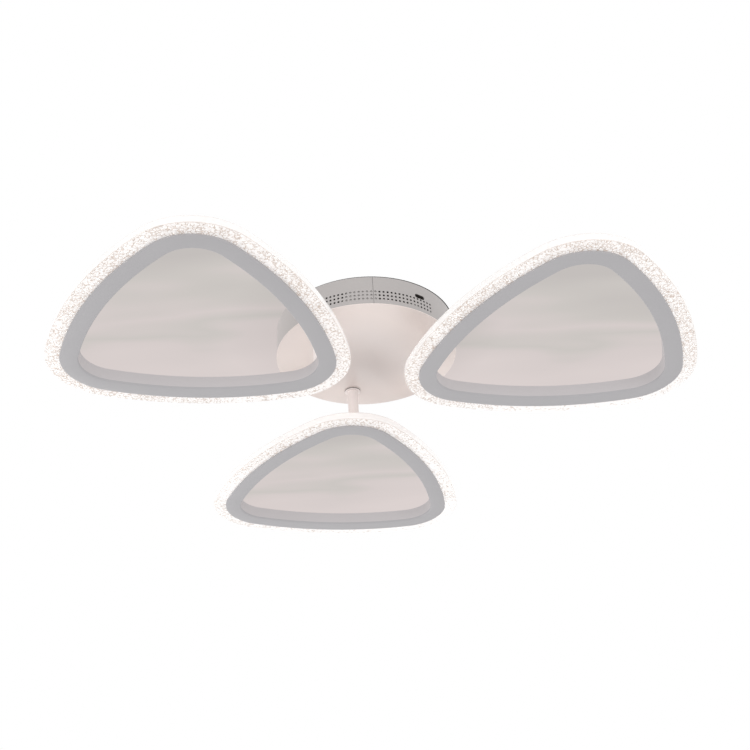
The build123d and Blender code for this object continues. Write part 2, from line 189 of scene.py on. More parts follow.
class Finish(Nodes):
    """A node material with one Principled shader, patterned in Object coordinates."""

    def __init__(self, name, roughness=0.5, metallic=0.0):
        self.material = bpy.data.materials.new(name)
        self.material.use_nodes = True
        super().__init__(self.material.node_tree)
        self.shader = self.tree.nodes["Principled BSDF"]
        self.roughness = roughness
        self.set("Roughness", roughness)
        self.set("Metallic", metallic)
        self.place = self.node("ShaderNodeTexCoord").outputs["Object"]

    def set(self, name, value):
        """Sets one of the shader's inputs to a value or another socket."""
        self.feed(self.shader.inputs[name], value)

    def parts(self, vector):
        """The X, Y and Z of a vector."""
        return self.node("ShaderNodeSeparateXYZ", {"Vector": vector}).outputs

    def stretched(self, vector, scale):
        """A vector with each of its parts scaled by itself."""
        return self.node("ShaderNodeMapping", {"Scale": scale, "Vector": vector}).outputs["Vector"]

    def scaled(self, vector, factor):
        """A vector or colour times a number or a socket."""
        inputs = {"Vector": vector, "Scale": factor}
        return self.node("ShaderNodeVectorMath", inputs, operation="SCALE").outputs["Vector"]

    def clouds(self, vector, scale, detail=2.0):
        """Noise that reads a vector."""
        return self.node("ShaderNodeTexNoise", {"Scale": scale, "Detail": detail, "Vector": vector}).outputs

    def noise(self, size, detail=3.0, stretch=(1.0, 1.0, 1.0)):
        """Noise whose features are about size metres across."""
        return self.clouds(self.stretched(self.place, [s / size for s in stretch]), 1.0, detail)["Fac"]

    def ramp(self, factor, *stops):
        """A colour ramp of (position, colour) stops."""
        made = self.node("ShaderNodeValToRGB", {"Fac": factor})
        elements = made.color_ramp.elements
        while len(elements) < len(stops):
            elements.new(0.5)
        for element, (position, colour) in zip(elements, stops):
            element.position = position
            element.color = (*colour, 1.0)
        return made.outputs["Color"]

    def step(self, factor, low, high):
        """What rises from 0 to 1 while a factor rises from low to high."""
        return self.ramp(factor, (low, (0.0, 0.0, 0.0)), (high, (1.0, 1.0, 1.0)))

    def level(self, factor, low, high, start=0.0, end=1.0):
        """What runs from start to end, spread between two values."""
        inputs = {"Value": factor, "From Min": start, "From Max": end, "To Min": low, "To Max": high}
        return self.node("ShaderNodeMapRange", inputs).outputs["Result"]

    def mottled(self, colour, size, dark, light=1.0):
        """Sets, and returns, a colour that drifts in patches of about size metres."""
        tone = self.ramp(self.noise(size), (0.3, shaded(colour, dark)), (0.7, shaded(colour, light)))
        self.set("Base Color", tone)
        return tone

    def uneven_gloss(self, size, less, more, detail=3.0, stretch=(1.0, 1.0, 1.0)):
        """Roughness that drifts in patches of about size metres."""
        patches = self.noise(size, detail, stretch)
        self.set("Roughness", self.level(patches, self.roughness - less, self.roughness + more))

    def bump(self, height, depth, strength=1.0):
        made = self.node("ShaderNodeBump", {"Height": height, "Distance": depth, "Strength": strength})
        self.set("Normal", made.outputs["Normal"])


def shaded(colour, share):
    """A colour made darker or lighter by a share."""
    return tuple(min(1.0, channel * share) for channel in colour)


def orange_peel(finish, grain, depth):
    """Gives a finish the skin of baked powder paint, with a grain and its depth in metres."""
    finish.uneven_gloss(size=0.012, less=0.06, more=0.06)
    finish.bump(finish.noise(grain, 2.0), depth)
    return finish.material


def powder_coat(name, colour, roughness, grain, depth):
    """Baked powder paint: a fine orange peel and a slight mottling."""
    finish = Finish(name, roughness)
    finish.mottled(colour, size=0.05, dark=0.985, light=1.01)
    return orange_peel(finish, grain, depth)


def wall_coat_with_painted_light(name, colour, roughness, reach):
    """Powder paint that is a little paler round the canopy's left side, a painted highlight where light from
    the left falls on it.
    """
    finish = Finish(name, roughness)
    # The paler tone round the left side is a painted highlight
    paler_from, palest_from = -0.45 * reach, -0.8 * reach
    left = finish.level(finish.parts(finish.place)["X"], 0.0, 0.5, paler_from, palest_from)
    tone = finish.maths("ADD", finish.maths("MULTIPLY", finish.noise(0.05), 0.5), left)
    dark, plain, pale = (shaded(colour, share) for share in (0.985, 1.01, 1.2))
    finish.set("Base Color", finish.ramp(tone, (0.15, dark), (0.35, plain), (0.8, pale)))
    return orange_peel(finish, 0.0009, 0.00002)


def gloss_paint_with_painted_light(name, colour, roughness, reach):
    """Smooth sprayed paint under a clear coat, with long soft waves; paler and warmer towards the rim as
    painted light, and darker in the middle as painted shade.
    """
    finish = Finish(name, roughness)
    # The painted shade in the middle is narrower across than away
    narrowing = 1.35
    spread = finish.stretched(finish.place, (narrowing / reach, 1 / reach, 0.0))
    centre = finish.node("ShaderNodeTexGradient", {"Vector": spread}, gradient_type="SPHERICAL")
    waves = finish.level(finish.noise(0.06, 1.0, (0.6, 1.0, 1.0)), -0.15, 0.15)
    tone = finish.maths("ADD", centre.outputs["Fac"], waves)
    # The rim's warmer, paler tone is painted light, the lamps' glow on the face
    warm = (colour[0], colour[1] * 0.985, colour[2] * 0.97)
    rim, between, middle = shaded(warm, 1.22), shaded(colour, 1.09), shaded(colour, 0.98)
    finish.set("Base Color", finish.ramp(tone, (0.1, rim), (0.5, between), (0.9, middle)))
    finish.set("Coat Weight", 0.35)
    finish.set("Coat Roughness", 0.12)
    finish.uneven_gloss(size=0.02, less=0.05, more=0.05)
    finish.bump(finish.noise(0.035, 1.0), 0.0002)
    return finish.material


def metal(name, colour, roughness):
    """Plated or plain metal with a drawn grain and dull patches."""
    finish = Finish(name, roughness, 1.0)
    drawn = (1.0, 12.0, 1.0)
    finish.mottled(colour, size=0.006, dark=0.8)
    finish.uneven_gloss(size=0.003, less=0.1, more=0.12, detail=4.0, stretch=drawn)
    finish.bump(finish.noise(0.0012, 2.0, drawn), 0.00004)
    return finish.material


def zinc_plate(name):
    """The zinc plating of the bracket, nuts and screws."""
    return metal(name, picture_colour(196, 200, 204), 0.38)


def moulded(name, colour, roughness, texture=0.0006):
    """Moulded plastic with a spark-eroded surface and a slight change of tone."""
    finish = Finish(name, roughness)
    finish.mottled(colour, size=0.02, dark=0.94, light=1.03)
    finish.uneven_gloss(size=0.004, less=0.05, more=0.08)
    finish.bump(finish.noise(texture, 2.0), 0.00003)
    return finish.material


def bubble_gaps_and_painted_light(finish):
    """Where no bubbles show: in patches, and more of them, as painted light that makes the acrylic paler, on
    each ring's far side and on the far lamp.
    """
    # Where each starts and is full: a share of the ring's depth, and metres behind the canopy's centre
    side_from, side_to = 0.75, 1.0
    lamp_from, lamp_to = 0.02, 0.12
    across_and_away = finish.node("ShaderNodeUVMap", uv_map="across_and_away").outputs["UV"]
    # More plain acrylic on each ring's far side and on the far lamp is painted light
    far_side = finish.level(finish.parts(across_and_away)["Y"], 0.0, 0.1, side_from, side_to)
    far_lamp_painted_light = finish.level(finish.parts(finish.place)["Y"], 0.0, 0.1, lamp_from, lamp_to)
    patches = finish.level(finish.noise(0.05, 1.0), -0.1, 0.1)
    thinner = finish.maths("ADD", finish.maths("ADD", far_side, far_lamp_painted_light), patches)
    return finish.step(finish.maths("ADD", finish.noise(0.0028, 2.0), thinner), 0.46, 0.6)


def bubbled_acrylic(name, clear, speck):
    """Clear acrylic lit from its inner edge: bubbles on its flat faces, and a plain glow on its sides."""
    finish = Finish(name, 0.12)
    # The size of a bubble and how far it is pushed about, in metres, and its dark wall's share of it
    bubble_size = 0.0034
    wander = 0.0012
    wall_share = 0.17
    push = finish.scaled(finish.clouds(finish.place, 300.0)["Color"], wander)
    pushed = finish.node("ShaderNodeVectorMath", {0: finish.place, 1: push}, operation="ADD")
    inputs = {"Scale": 1 / bubble_size, "Vector": pushed.outputs["Vector"]}
    cells = finish.node("ShaderNodeTexVoronoi", inputs, feature="DISTANCE_TO_EDGE")
    bubbles = finish.step(cells.outputs["Distance"], 0.0, wall_share)
    bubbles = finish.maths("MAXIMUM", bubbles, bubble_gaps_and_painted_light(finish))

    # How far a face looks up or down: the sides, the rounded edges past side_up_to, and the flat faces
    side_up_to = 0.1
    flat_from = 0.96
    normal = finish.node("ShaderNodeNewGeometry").outputs["True Normal"]
    facing = finish.maths("ABSOLUTE", finish.parts(normal)["Z"])
    flat = finish.maths("GREATER_THAN", facing, flat_from)
    not_side = finish.maths("GREATER_THAN", facing, side_up_to)
    edge = finish.maths("MULTIPLY", not_side, finish.maths("LESS_THAN", facing, flat_from))
    open_cell = finish.maths("MAXIMUM", bubbles, finish.maths("SUBTRACT", 1.0, flat))
    edge_shade = finish.maths("MULTIPLY", edge, 0.45)
    tone = finish.ramp(finish.maths("SUBTRACT", open_cell, edge_shade), (0.0, speck), (1.0, clear))
    finish.set("Base Color", tone)
    finish.set("Emission Color", tone)
    finish.set("Emission Strength", 0.15)
    finish.set("Transmission Weight", finish.level(flat, 0.25, 0.35))
    finish.set("IOR", 1.49)
    finish.bump(finish.maths("MULTIPLY", bubbles, flat), 0.0003, 0.5)
    return finish.material


def glowing(name, colour, strength):
    """A lit phosphor face."""
    finish = Finish(name, 0.4)
    finish.mottled(colour, size=0.001, dark=0.92)
    finish.set("Emission Color", (*colour, 1.0))
    finish.set("Emission Strength", strength)
    return finish.material


# Shapes


def lamp_geometry(sizes):
    """How far the corner circles are from the centre, half a side's angle, and how far the stem is."""
    side_centre = sizes.side_radius - sizes.side_reach
    between = sizes.side_radius - sizes.corner_radius
    corner_centre = (math.sqrt(4 * between**2 - 3 * side_centre**2) - side_centre) / 2
    across = corner_centre * math.sin(math.pi / 3)
    along = corner_centre * math.cos(math.pi / 3) + side_centre
    half_angle = math.degrees(math.atan2(across, along))
    return corner_centre, half_angle, corner_centre + sizes.corner_radius - sizes.stem_inset


def outline_arcs(sizes):
    """The outline's six arcs as (centre, radius, start angle, end angle), with the stem at the origin."""
    corner_centre, half_angle, lamp_centre = lamp_geometry(sizes)
    centre = Vector((lamp_centre, 0, 0))
    turn = 60.0 - half_angle
    arcs = []
    for angle in CORNER_ANGLES:
        arcs.append((centre + polar(corner_centre, angle), sizes.corner_radius, angle - turn, angle + turn))
        far_side = centre - polar(sizes.side_radius - sizes.side_reach, angle + 60)
        arcs.append((far_side, sizes.side_radius, angle + 60 - half_angle, angle + 60 + half_angle))
    return arcs


def place_of(side):
    """The matrix that takes a lamp from its own place, stem at the origin, to the canopy."""
    angle, turn = LAMPS[side]
    stem = polar(bpy.context.scene.chandelier_canopy.stem_ring_radius, angle)
    return Matrix.Translation(stem) @ Matrix.Rotation(math.radians(angle + turn), 4, "Z")


def closed_line(mesh, points):
    """Adds a closed line through points, or a lone point, and returns its verts and edges."""
    verts = [mesh.verts.new(point) for point in points]
    if len(verts) == 1:
        return verts
    return verts + [mesh.edges.new((verts[i - 1], verts[i])) for i in range(len(verts))]


def close_up(mesh):
    """Merges doubled points and turns every face outwards."""
    bmesh.ops.remove_doubles(mesh, verts=mesh.verts, dist=MERGE)
    bmesh.ops.recalc_face_normals(mesh, faces=mesh.faces)
    return mesh


def levels(node):
    """The lowest and highest level of a CAD node."""
    return [corner.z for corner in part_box(node)]


def sweep_round_lamp(section, sizes, corner_steps=30, side_steps=12):
    """A bmesh of a section of (inset, level) points carried round the lamp's outline by six spins."""
    arcs = outline_arcs(sizes)
    centre, radius, start, _ = arcs[0]
    mesh = bmesh.new()
    last = closed_line(mesh, [centre + polar(radius - inset, start, level) for inset, level in section])
    for centre, radius, start, end in arcs:
        steps = corner_steps if radius == sizes.corner_radius else side_steps
        angle = math.radians(end - start)
        spun = bmesh.ops.spin(mesh, geom=last, cent=centre, axis=(0, 0, 1), angle=angle, steps=steps)
        last = spun["geom_last"]
    return close_up(mesh)


def turned(profile, steps=72):
    """A bmesh of a closed profile of (radius, level) points turned about the Z axis."""
    mesh = bmesh.new()
    line = closed_line(mesh, [(radius, 0, level) for radius, level in profile])
    bmesh.ops.spin(
        mesh, geom=line, cent=(0, 0, 0), axis=(0, 0, 1), angle=math.tau, steps=steps, use_merge=True
    )
    return close_up(mesh)


def round_edges(mesh, offset, steps=2, seat=None):
    """Bevels every sharp edge, apart from those at the level where the piece seats on another."""
    limit = math.radians(50)
    sharp = [e for e in mesh.edges if len(e.link_faces) == 2 and e.calc_face_angle() > limit]
    edges = [e for e in sharp if seat is None or abs(e.verts[0].co.z - seat) > MERGE]
    bmesh.ops.bevel(mesh, geom=edges, offset=offset, segments=steps, affect="EDGES", profile=0.5, material=-1)


def add_prism(mesh, sides, radius, depth, matrix):
    """Adds a closed prism and returns its verts."""
    return bmesh.ops.create_cone(
        mesh, cap_ends=True, segments=sides, radius1=radius, radius2=radius, depth=depth, matrix=matrix
    )["verts"]


def mesh_data(name, mesh, *materials):
    """Turns a bmesh into mesh data with its materials."""
    data = bpy.data.meshes.new(name)
    mesh.to_mesh(data)
    mesh.free()
    for material in materials:
        data.materials.append(material)
    return data


def added(name, data):
    """A new object in the scene."""
    thing = bpy.data.objects.new(name, data)
    bpy.context.scene.collection.objects.link(thing)
    return thing


def finished_piece(name, mesh, body, materials, node):
    """Turns a bmesh into a piece that rides on a body, in place of a CAD node."""
    limit = math.radians(35)
    for face in mesh.faces:
        face.smooth = True
    for edge in mesh.edges:
        edge.smooth = len(edge.link_faces) == 2 and edge.calc_face_angle() < limit
    piece = added(name, mesh_data(name, mesh, *materials))
    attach(piece, body)
    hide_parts(node)


def lamp_piece(side, name, mesh, materials, node):
    """Moves a bmesh to its lamp's place and makes it a piece of that lamp."""
    bmesh.ops.transform(mesh, matrix=place_of(side), verts=mesh.verts)
    finished_piece(f"{side}_{name}", mesh, f"{side}_lamp", materials, f"{side}_{node}")


def write_across_and_away(mesh, turn):
    """Writes a UV layer that runs from 0 to 1 across the mesh and away from the viewer."""
    points = {vert: turn @ vert.co for vert in mesh.verts}
    low = [min(point[axis] for point in points.values()) for axis in (0, 1)]
    high = [max(point[axis] for point in points.values()) for axis in (0, 1)]
    layer = mesh.loops.layers.uv.new("across_and_away")
    for face in mesh.faces:
        for loop in face.loops:
            point = points[loop.vert]
            loop[layer].uv = [(point[axis] - low[axis]) / (high[axis] - low[axis]) for axis in (0, 1)]


def dress_nodes(material, *names):
    """Gives carried-over CAD nodes a material."""
    for name in names:
        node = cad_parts[name]
        if not node.material_slots:
            node.data.materials.append(material)
        for slot in node.material_slots:
            slot.material = material


# Operators


class CHANDELIER_OT_canopy_wall(bpy.types.Operator):
    """The perforated wall strip, bent round the canopy, with its seam, lap and side slot"""

    bl_idname = "chandelier.canopy_wall"
    bl_label = "Canopy wall"

    # How many steps bend the strip round the canopy, and the lap behind the seam
    strip_steps = 240
    lap_steps = 12
    # How long the cutting prisms are, in metres, and how many sides they have
    knife_length = 0.004
    vent_sides = 16
    hole_sides = 24

    def flat_sheet(self, low, high, outer, sheet, height, cuts):
        """A flat closed strip from low to high along X, whose outer side is at Y = outer."""
        mesh = bmesh.new()
        bmesh.ops.create_grid(mesh, x_segments=cuts, y_segments=2, size=0.5)
        turn_up = Matrix.Rotation(math.radians(90), 4, "X")
        size = Matrix.Diagonal((high - low, 1, height, 1))
        middle = Matrix.Translation(((low + high) / 2, outer, -height / 2))
        bmesh.ops.transform(mesh, matrix=middle @ size @ turn_up, verts=mesh.verts)
        extruded = bmesh.ops.extrude_face_region(mesh, geom=mesh.faces[:], use_keep_orig=True)
        back = [v for v in extruded["geom"] if isinstance(v, bmesh.types.BMVert)]
        bmesh.ops.translate(mesh, verts=back, vec=(0, -sheet, 0))
        bmesh.ops.recalc_face_normals(mesh, faces=mesh.faces)
        return mesh

    def cutters(self, sizes):
        """The vents, the slit, the slot and the screw holes, as prisms through the flat strip."""
        mesh = bmesh.new()
        through = Matrix.Rotation(math.radians(90), 4, "X")

        def knife(radius, x, level, sides=self.hole_sides):
            place = Matrix.Translation((x, 0, level)) @ through
            return add_prism(mesh, sides, radius, self.knife_length, place)

        for column in range(sizes.vent_columns):
            x = sizes.vent_pitch * (column - (sizes.vent_columns - 1) / 2)
            for row in range(sizes.vent_rows):
                level = -sizes.vent_top_drop - sizes.vent_row_pitch * row
                knife(sizes.vent_radius, x, level, self.vent_sides)
        for angle in (0.0, math.pi):
            knife(sizes.screw_hole, self.along(angle, sizes), -sizes.screw_drop)
        slot_x = self.along(sizes.slot_angle, sizes)
        slot = knife(sizes.slot_height / 2, slot_x, -sizes.slot_drop)
        stretch = (sizes.slot_length - sizes.slot_height) / 2
        for vert in slot:
            vert.co.x += math.copysign(stretch, vert.co.x - slot_x)
        slit = Matrix.Diagonal((sizes.seam_gap, self.knife_length, 1, 1))
        bmesh.ops.create_cube(mesh, size=1.0, matrix=slit)
        return mesh

    def along(self, angle, sizes):
        """How far along the flat strip an angle in radians lies, measured from the seam."""
        return ((angle - sizes.seam_angle + math.pi) % math.tau - math.pi) * sizes.wall_outer

    def pierced_strip(self, context, sizes):
        """The flat strip with its openings cut and no end faces; its cut edges take the second material, a
        painted shade.
        """
        half = math.pi * sizes.wall_outer
        strip = self.flat_sheet(-half, half, 0, sizes.wall_sheet, sizes.wall_height, self.strip_steps)
        whole = added("strip", mesh_data("strip", strip))
        knives = added("knives", mesh_data("knives", self.cutters(sizes)))
        cut = whole.modifiers.new("cut", "BOOLEAN")
        cut.object = knives
        cut.operation = "DIFFERENCE"
        cut.solver = "EXACT"
        pierced = bpy.data.meshes.new_from_object(whole.evaluated_get(context.evaluated_depsgraph_get()))
        bpy.data.objects.remove(whole)
        bpy.data.objects.remove(knives)
        mesh = bmesh.new()
        mesh.from_mesh(pierced)
        rim = 0.0001
        for face in mesh.faces:
            between_rims = rim - sizes.wall_height < face.calc_center_median().z < -rim
            face.material_index = 1 if abs(face.normal.y) < 0.5 and between_rims else 0
        ends = [f for f in mesh.faces if half - abs(f.calc_center_median().x) < MERGE]
        bmesh.ops.delete(mesh, geom=ends, context="FACES_ONLY")
        return mesh

    def execute(self, context):
        sizes = context.scene.chandelier_canopy
        white = context.scene.chandelier_colours.canopy_wall
        mesh = self.pierced_strip(context, sizes)
        sheet, height = sizes.wall_sheet, sizes.wall_height
        lap = self.flat_sheet(-sizes.lap_hidden, sizes.lap_joint, -sheet, sheet, height, self.lap_steps)
        mesh.from_mesh(mesh_data("lap", lap))
        for vert in mesh.verts:
            angle = math.degrees(sizes.seam_angle + vert.co.x / sizes.wall_outer)
            vert.co = polar(sizes.wall_outer + vert.co.y, angle, vert.co.z)
        close_up(mesh)
        # The wall's paint carries a painted highlight on its left side
        paint = wall_coat_with_painted_light("canopy_wall_paint", white, 0.42, sizes.wall_outer)
        # The cut edges are painted dark: painted shade inside the vents, slit and slot
        edge = powder_coat("punched_edge_painted_shade", shaded(white, 0.2), 0.6, 0.0009, 0.00002)
        finished_piece("canopy_wall_strip", mesh, "canopy", [paint, edge], "canopy_wall")
        return {"FINISHED"}


class CHANDELIER_OT_canopy_face(bpy.types.Operator):
    """The canopy's gloss-painted face"""

    bl_idname = "chandelier.canopy_face"
    bl_label = "Canopy face"

    def execute(self, context):
        colours = context.scene.chandelier_colours
        reach = context.scene.chandelier_canopy.wall_outer
        # The face's paint carries painted light at its rim and painted shade in its middle
        dress_nodes(gloss_paint_with_painted_light("canopy_face_paint", colours.canopy_face, 0.3, reach), "canopy_face")
        return {"FINISHED"}


class CHANDELIER_OT_canopy_inside(bpy.types.Operator):
    """The bracket, driver, terminal block, screws and leads inside the canopy"""

    bl_idname = "chandelier.canopy_inside"
    bl_label = "Inside of the canopy"

    def execute(self, context):
        zinc = zinc_plate("zinc_plate")
        dress_nodes(zinc, "mounting_bracket")
        dress_nodes(metal("brass", picture_colour(214, 178, 98), 0.32), "earth_screw")
        screw_paint = powder_coat("screw_paint", picture_colour(216, 216, 216), 0.4, 0.0006, 0.00001)
        dress_nodes(screw_paint, "canopy_side_screws")
        driver_plastic = moulded("driver_plastic", picture_colour(233, 232, 228), 0.5)
        dress_nodes(driver_plastic, "driver_case", "driver_lid")
        dress_nodes(moulded("circuit_board", picture_colour(60, 118, 74), 0.4), "driver_board")
        dress_nodes(moulded("terminal_plastic", picture_colour(238, 236, 228), 0.45), "terminal_block")
        sleeve = moulded("lead_sleeve", picture_colour(235, 235, 233), 0.42, 0.0004)
        dress_nodes(sleeve, "mains_lead")
        fibre = moulded("pressed_fibre", picture_colour(150, 62, 44), 0.7, 0.0003)
        for side in LAMPS:
            dress_nodes(sleeve, f"{side}_driver_lead", f"{side}_lamp_lead")
            dress_nodes(zinc, f"{side}_lock_nut", f"{side}_stem_nut")
            dress_nodes(fibre, f"{side}_fibre_washer")
        return {"FINISHED"}


class CHANDELIER_OT_stems(bpy.types.Operator):
    """The hollow stems with their threads, and the collars under the canopy"""

    bl_idname = "chandelier.stems"
    bl_label = "Stems and collars"

    # A thread's depth as a share of its pitch
    thread_depth = 0.6
    # The rounding of the painted ends, in metres, and how dark the painted shade on the collars' upright edge
    # is
    soften = 0.0004
    collar_shade_share = 0.27

    def thread(self, radius, low, high, pitch):
        """The zigzag of a thread's ridges, from low to high."""
        root = radius - self.thread_depth * pitch
        turns = max(1, int((high - low) / pitch))
        step = (high - low) / turns
        points = []
        for turn in range(turns):
            points += [(root, low + step * turn), (radius, low + step * (turn + 0.5))]
        return points + [(root, high)]

    def stem_profile(self, sizes, low, foot, shoulder, high):
        """A stem's section: painted from its foot to its shoulder, and threaded below and above."""
        soften, radius = self.soften, sizes.stem_radius
        profile = [(sizes.stem_bore, low)]
        profile += self.thread(sizes.thread_radius, low, foot, sizes.thread_pitch)
        profile += [(radius - soften, foot), (radius, foot + soften)]
        profile += [(radius, shoulder - soften), (radius - soften, shoulder)]
        profile += self.thread(sizes.thread_radius, shoulder, high, sizes.thread_pitch)
        return profile + [(sizes.stem_bore, high)]

    def execute(self, context):
        sizes = context.scene.chandelier_canopy
        white = context.scene.chandelier_colours.stem_white
        paint = powder_coat("stem_paint", white, 0.36, 0.0008, 0.00001)
        collar_painted_shade = powder_coat("collar_edge_painted_shade", shaded(white, self.collar_shade_share), 0.6, 0.0008, 0.00001)
        bright = metal("thread_steel", picture_colour(200, 200, 196), 0.35)
        for side in LAMPS:
            low, high = levels(f"{side}_stem")
            shoulder, top = levels(f"{side}_stem_collar")
            foot = levels(f"{side}_lamp_channel")[1]
            stem = turned(self.stem_profile(sizes, low, foot, shoulder, high))
            for face in stem.faces:
                middle = face.calc_center_median()
                outside = math.hypot(middle.x, middle.y) > sizes.thread_radius
                face.material_index = 0 if foot < middle.z < shoulder and outside else 1
            lamp_piece(side, "turned_stem", stem, [paint, bright], "stem")
            inner = sizes.thread_radius + context.scene.chandelier_lamp.seat_gap
            left, right = (corner.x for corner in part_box(f"{side}_stem_collar"))
            outer = (right - left) / 2
            collar = turned([(inner, shoulder), (outer, shoulder), (outer, top), (inner, top)])
            round_edges(collar, self.soften)
            collar.normal_update()
            # The collar's upright faces take a painted shade, the shadow in the gap under the canopy's face
            for face in collar.faces:
                face.material_index = 1 if abs(face.normal.z) < 0.5 else 0
            lamp_piece(side, "turned_collar", collar, [paint, collar_painted_shade], "stem_collar")
        return {"FINISHED"}


class CHANDELIER_OT_frames(bpy.types.Operator):
    """Each lamp's pressed channel, face plate and screws"""

    bl_idname = "chandelier.frames"
    bl_label = "Lamp frames"

    # How many steps roll the face plate's edge over
    roll_steps = 4

    def plate_section(self, sizes, under, top):
        """The face plate's section, with its inner lower edge rolled over."""
        roll = sizes.plate_round
        section = [(0, top), (0, under)]
        for step in range(self.roll_steps + 1):
            angle = math.radians(90 * step / self.roll_steps)
            inset = sizes.frame_width - roll + roll * math.sin(angle)
            section.append((inset, under + roll - roll * math.cos(angle)))
        return section + [(sizes.frame_width, top)]

    def execute(self, context):
        sizes = context.scene.chandelier_lamp
        colours = context.scene.chandelier_colours
        # One paint in two tones: painted shade on the face plate, painted light on the channel
        plate_paint_painted_shade = powder_coat("plate_paint_painted_shade", colours.plate_white_painted_shade, 0.55, 0.0009, 0.00002)
        channel_paint_painted_light = powder_coat("channel_paint_painted_light", colours.channel_white_painted_light, 0.55, 0.0009, 0.00002)
        zinc = zinc_plate("screw_zinc")
        lamp_centre = lamp_geometry(sizes)[2]
        for side in LAMPS:
            under = levels(f"{side}_lamp_face_plate")[0]
            plate_top = under + sizes.plate_thickness
            top = levels(f"{side}_lamp_channel")[1]
            plate = sweep_round_lamp(self.plate_section(sizes, under, plate_top), sizes)
            round_edges(plate, sizes.edge_round, seat=plate_top)
            stud_top = top - sizes.frame_sheet - sizes.seat_gap
            for angle in CORNER_ANGLES:
                stud = polar(sizes.side_reach - sizes.stem_inset, angle + 60, (plate_top + stud_top) / 2)
                stud.x += lamp_centre
                corner_reach = sizes.stud_flats / math.sqrt(3)
                add_prism(plate, 6, corner_reach, stud_top - plate_top, Matrix.Translation(stud))
            lamp_piece(side, "face_plate", plate, [plate_paint_painted_shade], "lamp_face_plate")
            width, sheet = sizes.frame_width, sizes.frame_sheet
            lip_under = plate_top + sizes.acrylic_thickness + sizes.seat_gap
            section = [(0, lip_under), (0, top), (width, top), (width, plate_top), (width - sheet, plate_top)]
            section += [(width - sheet, top - sheet), (sheet, top - sheet), (sheet, lip_under)]
            channel = sweep_round_lamp(section, sizes)
            round_edges(channel, sizes.edge_round, seat=plate_top)
            lamp_piece(side, "pressed_channel", channel, [channel_paint_painted_light], "lamp_channel")
            dress_nodes(zinc, f"{side}_frame_screws")
        return {"FINISHED"}


class CHANDELIER_OT_acrylic(bpy.types.Operator):
    """The clear bubbled rings"""

    bl_idname = "chandelier.acrylic"
    bl_label = "Acrylic rings"

    def execute(self, context):
        sizes = context.scene.chandelier_lamp
        colours = context.scene.chandelier_colours
        clear = bubbled_acrylic("clear_acrylic", colours.acrylic_clear, colours.acrylic_speck)
        for side in LAMPS:
            low, high = levels(f"{side}_acrylic_ring")
            outer, inner = -sizes.acrylic_reach, sizes.acrylic_grip
            ring = sweep_round_lamp([(outer, low), (inner, low), (inner, high), (outer, high)], sizes)
            round_edges(ring, sizes.acrylic_round, 3)
            write_across_and_away(ring, place_of(side))
            lamp_piece(side, "clear_ring", ring, [clear], "acrylic_ring")
        return {"FINISHED"}


class CHANDELIER_OT_light_strips(bpy.types.Operator):
    """The light strips on the inner walls, with their lit packages"""

    bl_idname = "chandelier.light_strips"
    bl_label = "Light strips"

    def packages(self, sizes, inset):
        """The place and direction of each package, evenly spaced along an inset outline."""
        arcs = [(c, r - inset, start, end) for c, r, start, end in outline_arcs(sizes)]
        lengths = [r * math.radians(end - start) for _, r, start, end in arcs]
        spacing = sum(lengths) / sizes.led_count
        for number in range(sizes.led_count):
            along = spacing * (number + 0.5)
            for (centre, radius, start, _), run in zip(arcs, lengths):
                if along <= run:
                    angle = start + math.degrees(along / radius)
                    yield centre + polar(radius, angle), angle
                    break
                along -= run

    def execute(self, context):
        sizes = context.scene.chandelier_lamp
        board = moulded("strip_board", picture_colour(240, 240, 236), 0.45)
        lit = glowing("lit_package", picture_colour(255, 244, 224), 3.0)
        back = sizes.frame_width - sizes.frame_sheet - sizes.seat_gap
        front = back - sizes.strip_thickness
        for side in LAMPS:
            low, high = levels(f"{side}_led_strip")
            strip = sweep_round_lamp([(front, low), (back, low), (back, high), (front, high)], sizes)
            for point, angle in self.packages(sizes, front - sizes.seat_gap - sizes.led_depth / 2):
                size = Matrix.Diagonal((sizes.led_depth, sizes.led_length, sizes.led_height, 1))
                turn = Matrix.Rotation(math.radians(angle), 4, "Z")
                place = Matrix.Translation((point.x, point.y, (low + high) / 2)) @ turn @ size
                made = bmesh.ops.create_cube(strip, size=1.0, matrix=place)
                for face in {f for vert in made["verts"] for f in vert.link_faces}:
                    face.material_index = 1
            lamp_piece(side, "light_strip", strip, [board, lit], "led_strip")
        return {"FINISHED"}


